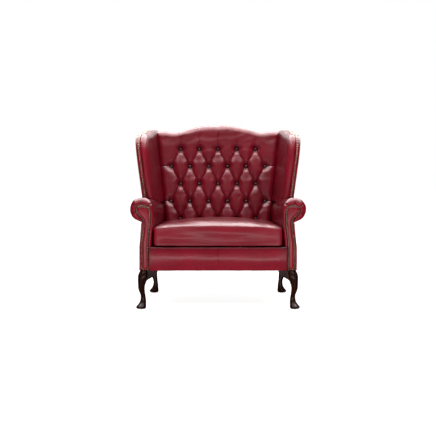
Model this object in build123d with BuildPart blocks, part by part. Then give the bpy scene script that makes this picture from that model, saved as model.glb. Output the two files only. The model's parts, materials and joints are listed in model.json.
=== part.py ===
from build123d import *
from math import asin, cos, radians, sin, sqrt
import os

# A cuddle chair: a wide wing armchair in buttoned leather on cabriole legs.
# Lengths are in millimetres. X runs across the chair, Y from front to back, Z up.
# Each right-hand piece is drawn at positive X and mirrored for the left.
# Depths named "in" are measured back from the arm facings.

# Seat
leg_height = 225.0
border_height = 137.0
border_bulge = 8.0
rail_height = 95.0
rail_thickness = 30.0
seat_depth = 549.0
seat_level = 500.0
clearance = 0.3
overrun = 5.0

# Arms
half_width = 510.5
roll_radius = 65.5
roll_height = 583.0
base_half_width = 460.0
arm_foot_inner = 392.5
panel_thickness = 13.5
arm_closing_share = 0.062
arm_fall_share = 0.07
facing_inner = 410.0
facing_outer = 443.0
facing_knee_height = 395.0
facing_margin = 5.0
facing_thickness = 12.0
post_thickness = 25.0
arm_rail_width = 30.0
arm_rail_height = 60.0
arm_rail_share = (0.0, -0.25)
# Scroll outlines, as shares of the roll's radius from the roll's centre
inner_flank_share = (-0.977, -1.267)
inner_swell_share = (-1.004, -0.60)
outer_swell_share = (0.87, -0.49)
outer_under_share = (0.458, -0.90)
throat_share = (0.015, -1.145)
panel_neck_share = (-0.18, -1.22)
panel_waist_share = (0.11, -2.25)
panel_inner_waist_share = (-0.10, -2.25)
facing_arc_shares = (
    ((-0.64, -1.95), (-0.71, -1.04)),
    ((-0.733, -0.58), (-0.70, -0.12)),
    ((-0.565, 0.137), (-0.275, 0.267)),
    ((0.08, 0.29), (0.20, 0.24)),
    ((0.40, 0.10), (0.427, -0.168)),
    ((0.275, -0.443), (-0.061, -0.81)),
    ((-0.20, -1.04), (-0.229, -1.344)),
)
facing_return_share = (-0.17, -2.05)

# Back
back_rake = 10.0
crest_height = 1088.0
crest_pad = 40.0
pad_depth = 55.0
foam_depth = 25.0
strap_thickness = 2.0
frame_depth = 34.0
panel_depth = 8.0
front_roll = 42.0
rear_roll = 14.0
lower_rail_height = 65.0
crest_rail_height = 70.0
back_post_width = 48.0
strap_width = 50.0
strap_count = 4
# Crest outline: places across as shares of the half width, falls as shares of the crest pad
crest_low_share = 1.17
crest_shares = (
    (0.0, 0.0), (0.278, 0.175), (0.40, 0.50), (0.51, 0.83), (0.646, crest_low_share), (0.76, 0.95),
)

# Deep buttoning
button_pitch = 122.0
row_pitch = 114.0
top_row_drop = 150.0
row_count = 5
short_row = 5
button_radius = 10.5
button_thickness = 9.0
button_rim = 3.0
dimple_radius = 30.0
dimple_depth = 31.0
pleat_half_width = 33.0
pleat_depth = 23.0
pleat_shares = ((1.0, 0.0), (0.62, 0.09), (0.28, 0.36), (0.0, 1.0))
tie_radius = 1.0

# Wings
wing_lean_share = 0.1317
wing_outer_x = 466.0
wing_front_in = 300.0
wing_foot_height = 640.0
wing_behind_seat = 101.0
wing_drop = 35.0
outside_skin = 8.0
wing_board_thickness = 22.0
wing_pad_thickness = 42.0
wing_pad_proud = 8.0
wing_pad_roll = 34.0
wing_wrap = 3.0
wing_nail_inset = 18.0
# Side profile of a wing, as shares of its depth and rise
wing_profile_shares = (
    (0.0, -0.14), (-0.02, 0.20), (-0.025, 0.45), (0.0, 0.72), (0.08, 0.855),
    (0.25, 0.92), (0.50, 0.935), (0.75, 0.975), (1.0, 1.0), (1.4, 1.0),
)

# Legs
ankle_x = 437.0
ankle_in = 22.0
rear_ankle_x = 405.0
rear_ankle_behind_seat = 41.0
ankle_radius = 15.0
glide_height = 3.0
glide_radius = 9.0
ear_reach = 84.0
ear_drop = 80.0
ear_thickness = 28.0
# Leg outline: height as a share of the leg, then offset and radius in ankle radii
leg_section_shares = (
    (0.0, 0.62, 1.47), (0.045, 0.77, 1.95), (0.11, 0.42, 1.57), (0.185, 0.08, 1.20), (0.27, 0.0, 1.0),
    (0.437, 0.40, 1.10), (0.585, 0.64, 1.33), (0.75, 0.30, 1.78), (0.84, 0.07, 2.0), (0.92, -0.25, 2.03),
    (1.0, -0.80, 2.0),
)
# Lower edge of an ear, as shares of its reach and drop
ear_shares = ((0.16, 0.86), (0.30, 0.70), (0.52, 0.55), (0.70, 0.44), (0.86, 0.32), (0.96, 0.16), (1.0, 0.0))
bolt_radius = 4.0
bolt_half_length = 36.0
insert_radius = 6.0
insert_flange_radius = 10.0
insert_flange = 1.5

# Springs and deck
wire_radius = 1.9
spring_lines = 5
spring_spacing = 128.0
loop_radius = 11.0
loop_run = 26.0
clip_thickness = 1.5
clip_width = 16.0
clip_length = 26.0
cloth_thickness = 1.0
block_leg = 70.0

# Seat cushion
cushion_front_half = 378.2
cushion_rear_half = 345.2
cushion_edge_height = 490.0
cushion_crown_height = 516.0
cushion_overhang = 5.0
cushion_corner = 17.0
cushion_shoulder = 50.0
cushion_shoulder_share = (0.20, 0.01, 0.26)
cushion_fall = 12.0
cushion_foot_share = 0.6
cushion_rounding_share = 0.3
cushion_front_shoulder_share = 0.6
cover_thickness = 4.0
cushion_drawn_in = 3.0
# Stations from front to rear: place, closing-in at the end, rise towards the crown
cushion_station_shares = (
    (0.0, 1.0, -0.55), (0.012, 0.35, -0.12), (0.045, 0.0, 0.08), (0.22, 0.0, 0.72), (0.50, 0.0, 1.0),
    (0.78, 0.0, 0.72), (0.955, 0.0, 0.08), (0.988, 0.35, -0.12), (1.0, 1.0, -0.55),
)
zip_length = 560.0
zip_width = 24.0
zip_tape = 1.4
teeth_width = 5.0
slider_width = 10.0
slider_length = 16.0
slider_thickness = 1.4
teeth_rise = 0.6
pull_length = 18.0

# Upholstery nails
nail_radius = 5.25
nail_rise = 3.2
shank_radius = 1.0
shank_length = 10.0
nail_pitch = 11.7
back_nail_pitch = 23.0
back_nail_inset = 9.0

# Places worked out from these sizes
rake_sin = sin(radians(back_rake))
rake_cos = cos(radians(back_rake))
foam_start = pad_depth
strap_start = pad_depth + foam_depth
frame_start = strap_start + 2 * strap_thickness
frame_end = frame_start + frame_depth
back_total = frame_end + panel_depth
top_run = (crest_height - seat_level) / rake_cos
toe_reach = max(offset + radius for _, offset, radius in leg_section_shares) * ankle_radius - ankle_in
rear_top_run = (crest_height - rear_roll - seat_level + frame_end * rake_sin) / rake_cos
rear_reach = seat_depth + rear_top_run * rake_sin + back_total * rake_cos
face_y = -(rear_reach - toe_reach) / 2
deck_top = leg_height + border_height
rail_top = leg_height + rail_height
roll_x = half_width - roll_radius
top_row_height = crest_height - top_row_drop
wing_depth = seat_depth + wing_behind_seat - wing_front_in
wing_rise = crest_height - wing_drop - wing_foot_height
rear_ankle_in = seat_depth + rear_ankle_behind_seat
front_rail_in = facing_thickness
post_end_in = facing_thickness + post_thickness
post_inner = facing_inner - facing_margin
rear_rail_in = seat_depth + (rail_top - seat_level) * rake_sin + frame_start * rake_cos - clearance
back_plane = Plane(
    origin=(0, face_y + seat_depth, seat_level), x_dir=(1, 0, 0), z_dir=(0, -rake_cos, rake_sin)
)
wing_plane = Plane(
    origin=(wing_outer_x, face_y + wing_front_in, wing_foot_height),
    x_dir=(-wing_lean_share, 1, 0),
    z_dir=(1, wing_lean_share, -wing_lean_share),
)
panel_front_plane = back_plane.offset(-frame_end)
wing_norm = sqrt(1 + 2 * wing_lean_share * wing_lean_share)
wing_thickness = outside_skin + wing_board_thickness + wing_pad_thickness
wing_board_inner = outside_skin + wing_board_thickness


def cross_plane(depth_in):
    """Upright plane across the chair, this far behind the arm facings."""
    return Plane.XZ.offset(-(face_y + depth_in))


def up_back(height, depth):
    """Distance up the raked back plane at a height, at a depth into the back."""
    return (height - seat_level + depth * rake_sin) / rake_cos


def wing_edge(run, depth, inset):
    """Half width of the wing plane moved inwards by inset, on the raked back."""
    along = seat_depth + run * rake_sin + depth * rake_cos
    height = seat_level + run * rake_cos - depth * rake_sin
    lean = (height - wing_foot_height) - (along - wing_front_in)
    return wing_outer_x + wing_lean_share * lean - inset * wing_norm


def crest_point(shares, lowered, depth):
    """Point of the crest outline on the raked back, lowered by a distance."""
    across, fall = shares
    return (across * roll_x, up_back(crest_height - fall * crest_pad - lowered, depth))


def draw_crest(lowered, depth, half, foot):
    """Outline of a back layer: crest curve on top, straight sides and foot."""
    right = [crest_point(share, lowered, depth) for share in crest_shares]
    left = [(-x, v) for x, v in reversed(right[1:])]
    curve = left + right
    Spline(*curve)
    Polyline(curve[-1], (half, curve[-1][1]), (half, foot), (-half, foot), (-half, curve[0][1]), curve[0])


def scroll(shares, depth_in=0.0):
    """Point near the arm roll, from shares of its radius."""
    across, up = shares
    return (
        roll_x + across * roll_radius - arm_closing_share * depth_in,
        roll_height + up * roll_radius - arm_fall_share * depth_in,
    )


def draw_dome(radius, base, rise):
    """Profile of a spherical cap, from its rim to its top on the axis."""
    ball = (radius * radius + rise * rise) / (2 * rise)
    half_angle = asin(radius / ball) / 2
    middle = (ball * sin(half_angle), base + rise - ball + ball * cos(half_angle))
    ThreePointArc((radius, base), middle, (0, base + rise))


def evenly(wire, pitch, closed=False):
    """Points and directions spaced evenly along a line."""
    count = round(wire.length / pitch)
    steps = count if closed else count + 1
    return [(wire.position_at(i / count), wire.tangent_at(i / count)) for i in range(steps)]


def mirrored(piece):
    """The left-hand twin of a right-hand piece."""
    with BuildPart() as twin:
        mirror(piece.part, about=Plane.YZ)
    return twin


def split_prism(outline, start, end):
    """Flat piece on the raked back between two depths."""
    with BuildPart() as prism:
        with BuildSketch(back_plane.offset(-start)):
            with BuildLine():
                Polyline(*outline, close=True)
            make_face()
        extrude(amount=start - end)
    return prism


# Wooden seat frame
rail_slide = arm_closing_share * rear_rail_in
side_outer = base_half_width - panel_thickness - clearance
side_inner = side_outer - rail_thickness
rear_rail_end = rear_rail_in + frame_depth

with BuildPart() as front_seat_rail:
    with BuildSketch(Plane.XY.offset(leg_height)):
        with Locations((0, face_y + front_rail_in + rail_thickness / 2)):
            Rectangle(2 * post_inner, rail_thickness)
    extrude(amount=rail_height)

with BuildPart() as rear_seat_rail:
    with BuildSketch(Plane.XY.offset(leg_height)):
        with Locations((0, face_y + rear_rail_in + frame_depth / 2)):
            Rectangle(2 * (side_outer - arm_closing_share * rear_rail_end), frame_depth)
    extrude(amount=rail_height)
    split(bisect_by=panel_front_plane, keep=Keep.TOP)


def bolt_hole(x, depth_in):
    """Bore for a threaded insert, with a seat for its flange."""
    with BuildPart() as hole:
        with BuildSketch(Plane.XY.offset(leg_height)):
            with Locations((x, face_y + depth_in)):
                Circle(insert_radius + clearance)
        extrude(amount=bolt_half_length + clearance)
        with BuildSketch(Plane.XY.offset(leg_height)):
            with Locations((x, face_y + depth_in)):
                Circle(insert_flange_radius + clearance)
        extrude(amount=insert_flange)
    return hole


front_bolt = (
    side_inner + rail_thickness / 2 - arm_closing_share * ankle_in,
    post_end_in + rail_thickness / 2,
)
rear_bolt = (side_inner + rail_thickness / 2 - rail_slide, rear_rail_in - rail_thickness / 2)

with BuildPart() as right_seat_rail:
    with BuildSketch(Plane.XY.offset(leg_height)):
        with BuildLine():
            Polyline(
                (side_inner - arm_closing_share * post_end_in, face_y + post_end_in),
                (side_outer - arm_closing_share * post_end_in, face_y + post_end_in),
                (side_outer - rail_slide, face_y + rear_rail_in),
                (side_inner - rail_slide, face_y + rear_rail_in),
                close=True,
            )
        make_face()
    extrude(amount=rail_height)
    add(bolt_hole(*front_bolt).part, mode=Mode.SUBTRACT)
    add(bolt_hole(*rear_bolt).part, mode=Mode.SUBTRACT)


def corner_block(x, depth_in, way):
    """Triangular brace in a corner of the seat frame."""
    corner = (x, face_y + depth_in)
    with BuildPart() as block:
        with BuildSketch(Plane.XY.offset(leg_height + rail_height / 4)):
            with BuildLine():
                Polyline(
                    corner,
                    (x - block_leg, face_y + depth_in),
                    (x - way[0] * block_leg, face_y + depth_in + way[1] * block_leg),
                    close=True,
                )
            make_face()
        extrude(amount=rail_height / 2)
    return block


front_block_in = front_rail_in + rail_thickness
front_lean = (arm_closing_share, 1.0)
rear_lean = (-arm_closing_share, -1.0)
front_block_x = side_inner - arm_closing_share * front_block_in
right_front_block = corner_block(front_block_x, front_block_in, front_lean)
right_rear_block = corner_block(side_inner - rail_slide, rear_rail_in, rear_lean)
with BuildPart() as corner_blocks:
    add(right_front_block.part)
    add(right_rear_block.part)
    mirror(right_front_block.part, about=Plane.YZ)
    mirror(right_rear_block.part, about=Plane.YZ)

# Back frame
post_foot = up_back(rail_top, frame_end) - overrun
post_top = up_back(crest_height - crest_low_share * crest_pad - crest_pad, frame_start)


def post_outline(grow, inner_grow):
    """Leaning outline of a back post."""
    low = wing_edge(post_foot, frame_start, wing_board_inner) + grow
    high = wing_edge(post_top, frame_start, wing_board_inner) + grow
    width = back_post_width + grow + inner_grow
    return [
        (low - width, post_foot),
        (low, post_foot),
        (high, post_top + grow),
        (high - width, post_top + grow),
    ]


with BuildPart() as right_back_post:
    add(split_prism(post_outline(0, 0), frame_start, frame_end).part)
    split(bisect_by=wing_plane.offset(-wing_board_inner), keep=Keep.BOTTOM)
    split(bisect_by=Plane.XY.offset(rail_top), keep=Keep.TOP)


def post_inner_at(run):
    """Inner edge of a back post at a height up the raked plane."""
    return wing_edge(run, frame_start, wing_board_inner) - back_post_width


with BuildPart() as crest_rail:
    with BuildSketch(back_plane.offset(-frame_start)):
        with BuildLine():
            draw_crest(crest_pad + clearance, frame_start, roll_x, post_top - crest_rail_height)
        make_face()
        with BuildLine():
            Polyline(
                (-post_inner_at(post_top - crest_rail_height), post_top - crest_rail_height),
                (post_inner_at(post_top - crest_rail_height), post_top - crest_rail_height),
                (post_inner_at(top_run), top_run),
                (-post_inner_at(top_run), top_run),
                close=True,
            )
        make_face(mode=Mode.INTERSECT)
    extrude(amount=-frame_depth)

lower_rail_foot = up_back(deck_top, frame_start)
with BuildPart() as lower_back_rail:
    add(
        split_prism(
            [
                (-post_inner_at(lower_rail_foot), lower_rail_foot),
                (post_inner_at(lower_rail_foot), lower_rail_foot),
                (post_inner_at(lower_rail_foot + lower_rail_height), lower_rail_foot + lower_rail_height),
                (-post_inner_at(lower_rail_foot + lower_rail_height), lower_rail_foot + lower_rail_height),
            ],
            frame_start,
            frame_end,
        ).part
    )

with BuildPart() as back_webbing:
    strap_low = lower_rail_foot + lower_rail_height / 4
    strap_high = post_top - crest_rail_height / 2
    for i in range(strap_count):
        strap_x = (i - (strap_count - 1) / 2) * button_pitch
        with BuildSketch(back_plane.offset(-strap_start - strap_thickness)):
            with Locations((strap_x, (strap_low + strap_high) / 2)):
                Rectangle(strap_width, strap_high - strap_low)
        extrude(amount=-strap_thickness)
    for row in range(row_count):
        run = up_back(top_row_height, 0) - row * row_pitch
        reach = wing_edge(run, strap_start, wing_thickness) - overrun
        with BuildSketch(back_plane.offset(-strap_start)):
            with Locations((0, run)):
                Rectangle(2 * reach, strap_width)
        extrude(amount=-strap_thickness)


# Deep-buttoned back
def button_places():
    """Every button as a place across and up the raked back, row by row."""
    rows = []
    for row in range(row_count):
        count = short_row + row % 2
        run = up_back(top_row_height, 0) - row * row_pitch
        rows.append([((i - (count - 1) / 2) * button_pitch, run) for i in range(count)])
    return rows


def groove(start, end):
    """Wedge with crowned flanks that parts two cushions of the buttoning."""
    first = back_plane.from_local_coords((start[0], start[1], 0))
    last = back_plane.from_local_coords((end[0], end[1], 0))
    along = last - first
    across = back_plane.z_dir.cross(along)
    section = [(share * pleat_half_width, -fall * pleat_depth) for share, fall in pleat_shares]
    far_side = [(-x, y) for x, y in reversed(section[:-1])]
    rim = [(-pleat_half_width, overrun), (pleat_half_width, overrun)]
    with BuildPart() as wedge:
        with BuildSketch(Plane(origin=first, x_dir=across, z_dir=along)):
            with BuildLine():
                Polyline(*rim, *section, *far_side, close=True)
            make_face()
        extrude(amount=along.length)
    return wedge.part


def dimple(place):
    """Funnel with a flat floor that holds one button."""
    with BuildPart() as funnel:
        with BuildSketch(back_plane.offset(-dimple_depth)):
            with Locations(place):
                Circle(button_radius + clearance)
        with BuildSketch(back_plane.offset(overrun)):
            with Locations(place):
                Circle(dimple_radius)
        loft()
    return funnel.part


def tie(place, radius, start, end):
    """Round piece through the back below a button."""
    with BuildPart() as cord:
        with BuildSketch(back_plane.offset(-start)):
            with Locations(place):
                Circle(radius)
        extrude(amount=start - end)
    return cord.part


button_rows = button_places()
all_buttons = [place for row in button_rows for place in row]
pleats = []
for upper, lower in zip(button_rows, button_rows[1:]):
    for a in upper:
        for b in lower:
            if abs(a[0] - b[0]) < button_pitch:
                pleats.append((a, b))
for place in button_rows[0]:
    pleats.append((place, (place[0], top_run)))
for row in button_rows[1::2]:
    for side in (-1, 1):
        edge = (side * roll_x, row[0][1])
        pleats.append((edge, (side * row[-1][0], row[0][1])))


def wing_side(depth, inset, low, high):
    """Outline between the two wing planes, moved inwards by inset."""
    return [
        (-wing_edge(low, depth, inset), low),
        (wing_edge(low, depth, inset), low),
        (wing_edge(high, depth, inset), high),
        (-wing_edge(high, depth, inset), high),
    ]


wing_inner_plane = wing_plane.offset(-wing_thickness - clearance)
pad_foot = up_back(deck_top, pad_depth) - overrun
back_pad_cuts = [groove(*pleat) for pleat in pleats]
back_pad_cuts += [dimple(place) for place in all_buttons]
back_pad_cuts += [tie(place, tie_radius + clearance, 0, pad_depth) for place in all_buttons]


def left_plane(plane):
    """The same plane on the left of the chair."""
    origin = plane.origin
    normal = plane.z_dir
    return Plane(origin=(-origin.X, origin.Y, origin.Z), z_dir=(-normal.X, normal.Y, normal.Z))


with BuildPart() as inside_back:
    with BuildSketch(back_plane):
        with BuildLine():
            draw_crest(0, front_roll, roll_x, pad_foot)
        make_face()
    extrude(amount=-frame_end)
    crest_edges = inside_back.edges().filter_by(GeomType.BSPLINE)
    fillet(crest_edges.sort_by(Axis(back_plane.origin, back_plane.z_dir))[-1], front_roll)
    with BuildSketch(back_plane.offset(-pad_depth)):
        with BuildLine():
            draw_crest(crest_pad, frame_start, 2 * roll_x, pad_foot - crest_pad)
        make_face()
    extrude(amount=-frame_end, mode=Mode.SUBTRACT)
    split(bisect_by=wing_inner_plane, keep=Keep.BOTTOM)
    split(bisect_by=left_plane(wing_inner_plane), keep=Keep.BOTTOM)
    split(bisect_by=Plane.XY.offset(deck_top), keep=Keep.TOP)
    add(back_pad_cuts, mode=Mode.SUBTRACT)

tie_holes = [tie(place, tie_radius + clearance, foam_start, strap_start) for place in all_buttons]
with BuildPart() as back_foam:
    foam_foot = up_back(deck_top, strap_start) - overrun
    add(
        split_prism(
            wing_side(foam_start, wing_thickness, foam_foot, post_top - clearance),
            foam_start + clearance,
            strap_start,
        ).part
    )
    split(bisect_by=wing_inner_plane, keep=Keep.BOTTOM)
    split(bisect_by=left_plane(wing_inner_plane), keep=Keep.BOTTOM)
    split(bisect_by=Plane.XY.offset(deck_top), keep=Keep.TOP)
    add(tie_holes, mode=Mode.SUBTRACT)

with BuildPart() as one_button:
    with BuildSketch(Plane.XZ):
        with BuildLine():
            Polyline((0, button_thickness), (0, 0), (button_radius, 0), (button_radius, button_rim))
            draw_dome(button_radius, button_rim, button_thickness - button_rim)
        make_face()
    revolve(axis=Axis.Z)

with BuildPart() as back_buttons:
    with Locations(back_plane.offset(-dimple_depth)):
        with Locations(*all_buttons):
            add(one_button.part)

with BuildPart() as button_ties:
    add([tie(place, tie_radius, dimple_depth, strap_start) for place in all_buttons])


# Arms
def draw_roll(depth_in, grow=0.0):
    """Section of an arm pad: inner flank, rolled top and throat."""
    slide = arm_closing_share * depth_in
    foot = deck_top - grow
    foot_in = (arm_foot_inner - slide - grow, foot)
    flank_x, flank_z = scroll(inner_flank_share, depth_in)
    centre_x, centre_z = scroll((0, 0), depth_in)
    reach = roll_radius + grow
    swell_x, swell_z = scroll(inner_swell_share, depth_in)
    corner = reach * sqrt(0.5)
    out_x, out_z = scroll(outer_swell_share, depth_in)
    under_x, under_z = scroll(outer_under_share, depth_in)
    throat_x, throat_z = scroll(throat_share, depth_in)
    neck_x, neck_z = scroll(panel_neck_share, depth_in)
    waist_x, waist_z = scroll(panel_inner_waist_share, depth_in)
    foot_out = (base_half_width - panel_thickness - slide + grow, foot)
    Line(foot_in, (flank_x - grow, flank_z))
    ThreePointArc((flank_x - grow, flank_z), (swell_x - grow, swell_z), (centre_x - reach, centre_z))
    ThreePointArc(
        (centre_x - reach, centre_z), (centre_x - corner, centre_z + corner), (centre_x, centre_z + reach)
    )
    ThreePointArc(
        (centre_x, centre_z + reach), (centre_x + corner, centre_z + corner), (centre_x + reach, centre_z)
    )
    ThreePointArc((centre_x + reach, centre_z), (out_x + grow, out_z), (under_x + grow, under_z - grow))
    Line((under_x + grow, under_z - grow), (throat_x + grow, throat_z - grow))
    Line((throat_x + grow, throat_z - grow), (neck_x + grow, neck_z))
    ThreePointArc((neck_x + grow, neck_z), (waist_x + grow, waist_z), foot_out)
    Line(foot_out, foot_in)


arm_rear_in = rear_reach


def arm_form(grow):
    """The whole arm pad before anything is let into it."""
    with BuildPart() as form:
        for depth_in in (0.0, arm_rear_in):
            with BuildSketch(cross_plane(depth_in)):
                with BuildLine():
                    draw_roll(depth_in, grow)
                make_face()
        loft()
    return form


def draw_facing():
    """Nail line of an arm facing, at the front of the arm."""
    foot = leg_height + facing_margin + clearance
    points = [scroll(share) for pair in facing_arc_shares for share in pair]
    knee = (facing_inner, facing_knee_height)
    Line((facing_inner, foot), knee)
    here = knee
    for middle, end in zip(points[::2], points[1::2]):
        ThreePointArc(here, middle, end)
        here = end
    last_knee = (facing_outer, facing_knee_height)
    ThreePointArc(here, scroll(facing_return_share), last_knee)
    Polyline(last_knee, (facing_outer, foot), (facing_inner, foot))


def facing_slab(grow, start_in, end_in):
    """Flat piece with the outline of the arm facing."""
    with BuildPart() as slab:
        with BuildSketch(cross_plane(start_in)):
            with BuildLine():
                draw_facing()
            make_face()
            offset(amount=facing_margin + grow)
        extrude(amount=start_in - end_in)
    return slab


back_keepout_front = split_prism(
    wing_side(0, wing_thickness, pad_foot - crest_pad, top_run), -clearance, frame_start
)
right_arm_facing = facing_slab(0, 0, facing_thickness)
right_arm_post = facing_slab(0, facing_thickness, post_end_in)
post_pocket = facing_slab(clearance, -overrun, post_end_in)
post_block = split_prism(post_outline(clearance, roll_x), frame_start - clearance, frame_end + overrun)


def arm_bar(grow, start_in, end_in):
    """Straight rail along the middle of the arm roll, or the pocket for it."""
    with BuildPart() as bar:
        for depth_in in (start_in, end_in):
            with BuildSketch(cross_plane(depth_in)):
                with Locations(scroll(arm_rail_share, depth_in)):
                    Rectangle(arm_rail_width + 2 * grow, arm_rail_height + 2 * grow)
        loft()
    return bar


right_arm_rail = arm_bar(0, post_end_in, rear_rail_end)
rail_pocket = arm_bar(clearance, post_end_in - overrun, rear_rail_end + overrun)

with BuildPart() as right_arm_pad:
    add(arm_form(0).part)
    split(bisect_by=panel_front_plane, keep=Keep.TOP)
    add(post_pocket.part, mode=Mode.SUBTRACT)
    add(rail_pocket.part, mode=Mode.SUBTRACT)
    add(back_keepout_front.part, mode=Mode.SUBTRACT)
    add(post_block.part, mode=Mode.SUBTRACT)


def draw_panel(depth_in):
    """Section of an outside arm: waisted under the roll, straight below."""
    slide = arm_closing_share * depth_in
    outer_foot = base_half_width - slide
    inner_foot = outer_foot - panel_thickness + clearance
    foot = leg_height + clearance
    shoulder = facing_knee_height - rail_thickness
    throat = scroll(throat_share, depth_in)
    neck = scroll(panel_neck_share, depth_in)
    waist = scroll(panel_waist_share, depth_in)
    inner_waist = scroll(panel_inner_waist_share, depth_in)
    Line((inner_foot, foot), (inner_foot, deck_top))
    ThreePointArc(
        (inner_foot, deck_top),
        (inner_waist[0] + clearance, inner_waist[1]),
        (neck[0] + clearance, neck[1]),
    )
    Line((neck[0] + clearance, neck[1]), (throat[0], throat[1] - clearance))
    ThreePointArc((throat[0], throat[1] - clearance), waist, (outer_foot, shoulder))
    Polyline((outer_foot, shoulder), (outer_foot, foot), (inner_foot, foot))


with BuildPart() as right_outside_arm:
    for depth_in in (0.0, arm_rear_in):
        with BuildSketch(cross_plane(depth_in)):
            with BuildLine():
                draw_panel(depth_in)
            make_face()
    loft()
    split(bisect_by=panel_front_plane, keep=Keep.TOP)
    add(post_pocket.part, mode=Mode.SUBTRACT)


# Wings
def draw_wing(forward, lift):
    """Side profile of a wing, closed well behind and below it."""
    points = [
        (a * wing_depth - forward, b * wing_rise + lift) for a, b in wing_profile_shares
    ]
    Spline(*points)
    Polyline(points[-1], (points[-1][0], points[0][1]), points[0])


arm_clear = arm_form(clearance)


def wing_layer(inset, thickness, forward=0, lift=0, roll=0):
    """One layer of a wing, cut to sit on the arm and against the back."""
    with BuildPart() as layer:
        with BuildSketch(wing_plane.offset(-inset)):
            with BuildLine():
                draw_wing(forward, lift)
            make_face()
        extrude(amount=-thickness)
        if roll > 0:
            rims = layer.edges().filter_by(GeomType.BSPLINE)
            fillet(rims.sort_by(Axis(wing_plane.origin, wing_plane.z_dir))[0], roll)
        split(bisect_by=panel_front_plane, keep=Keep.TOP)
        add(arm_clear.part, mode=Mode.SUBTRACT)
    return layer


right_wing_board = wing_layer(outside_skin, wing_board_thickness)
with BuildPart() as right_wing_pad:
    add(
        wing_layer(
            wing_board_inner, wing_pad_thickness, wing_pad_proud, wing_pad_proud / 2, wing_pad_roll
        ).part
    )
    add(post_block.part, mode=Mode.SUBTRACT)

# The outside wing leather wraps round the edge of the board, and the nails go through the wrap
with BuildLine(wing_plane.offset(-wing_nail_inset)) as wing_line:
    nail_lift = wing_wrap + clearance
    Spline(*[(a * wing_depth - nail_lift, b * wing_rise + nail_lift) for a, b in wing_profile_shares])
lowest_wing_nail = scroll((0, 1), wing_front_in)[1] + nail_radius + clearance
last_wing_nail = face_y + wing_front_in + wing_depth
wing_nail_planes = [
    Plane(origin=at, z_dir=wing_plane.z_dir.cross(way))
    for at, way in evenly(wing_line.wire(), nail_pitch)
    if at.Z > lowest_wing_nail and at.Y < last_wing_nail
]
with BuildPart() as right_outside_wing:
    add(wing_layer(0, wing_board_inner, wing_wrap, wing_wrap).part)
    with BuildSketch(wing_plane.offset(-outside_skin)):
        with BuildLine():
            draw_wing(clearance, clearance)
        make_face()
    extrude(amount=-wing_board_inner, mode=Mode.SUBTRACT)
    with Locations(*wing_nail_planes):
        Cylinder(shank_radius + clearance, 4 * wing_wrap, mode=Mode.SUBTRACT)

# Outside back
panel_base = base_half_width - arm_closing_share * rear_rail_end - clearance
with BuildPart() as outside_back:
    shoulder_run = up_back(wing_foot_height - roll_radius, frame_end)
    with BuildSketch(panel_front_plane):
        with BuildLine():
            draw_crest(rear_roll, frame_end, roll_x, up_back(leg_height, frame_end))
        make_face()
        with BuildLine():
            low = up_back(leg_height + clearance, frame_end)
            Polyline(
                (-panel_base, low),
                (panel_base, low),
                (panel_base, shoulder_run - roll_radius),
                (wing_edge(shoulder_run, frame_end, 0), shoulder_run),
                (wing_edge(top_run, frame_end, 0), top_run),
                (-wing_edge(top_run, frame_end, 0), top_run),
                (-wing_edge(shoulder_run, frame_end, 0), shoulder_run),
                (-panel_base, shoulder_run - roll_radius),
                close=True,
            )
        make_face(mode=Mode.INTERSECT)
    extrude(amount=-panel_depth)
    split(bisect_by=Plane.XY.offset(leg_height + clearance), keep=Keep.TOP)

# Front border, in two halves sewn at the centre
border_end = post_inner - clearance
with BuildPart() as right_border:
    with BuildSketch(Plane.YZ.offset(clearance)):
        with BuildLine():
            low_y = face_y + front_rail_in
            low = (low_y, leg_height + clearance)
            high = (low_y, deck_top)
            lip_low = (face_y, leg_height + clearance)
            lip_high = (face_y, deck_top)
            ThreePointArc(lip_low, (face_y - border_bulge, leg_height + border_height / 2), lip_high)
            Polyline(lip_high, high, low, lip_low)
        make_face()
    extrude(amount=border_end - clearance)

# Springs, clips, deck and cloth under the seat
spring_height = rail_top + clip_thickness + wire_radius
spring_front = front_rail_in + rail_thickness / 2
spring_rear = rear_rail_in + frame_depth / 2
loop_count = int((spring_rear - spring_front - 2 * loop_run) / (2 * loop_radius))
clip_height = spring_height + clearance
deck_bottom = clip_height + wire_radius + clip_thickness + 2 * clearance


def zigzag(x):
    """One sinuous spring from the front rail to the rear rail."""
    first_y = face_y + spring_front
    last_y = face_y + spring_rear
    y = (first_y + last_y) / 2 - loop_count * loop_radius
    half = loop_run / 2
    bend = loop_radius * sqrt(0.5)
    start_x = x - half - loop_radius
    with BuildPart() as wire:
        with BuildLine(Plane.XY.offset(spring_height)) as path:
            Line((start_x, first_y), (start_x, y - loop_radius))
            ThreePointArc(
                (start_x, y - loop_radius), (x - half - bend, y - loop_radius + bend), (x - half, y)
            )
            side = 1
            for _ in range(loop_count):
                Line((x - side * half, y), (x + side * half, y))
                tip = (x + side * (half + loop_radius), y + loop_radius)
                ThreePointArc((x + side * half, y), tip, (x + side * half, y + 2 * loop_radius))
                y += 2 * loop_radius
                side = -side
            Line((x - side * half, y), (x + side * half, y))
            end_x = x + side * (half + loop_radius)
            ThreePointArc(
                (x + side * half, y),
                (x + side * (half + bend), y + loop_radius - bend),
                (end_x, y + loop_radius),
            )
            Line((end_x, y + loop_radius), (end_x, last_y))
        with BuildSketch(Plane(origin=path.line @ 0, z_dir=path.line % 0)):
            Circle(wire_radius)
        sweep(path=path.line)
    return wire.part, start_x, end_x


spring_parts = [zigzag((i - (spring_lines - 1) / 2) * spring_spacing) for i in range(spring_lines)]
with BuildPart() as zigzag_springs:
    add([spring[0] for spring in spring_parts])

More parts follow.
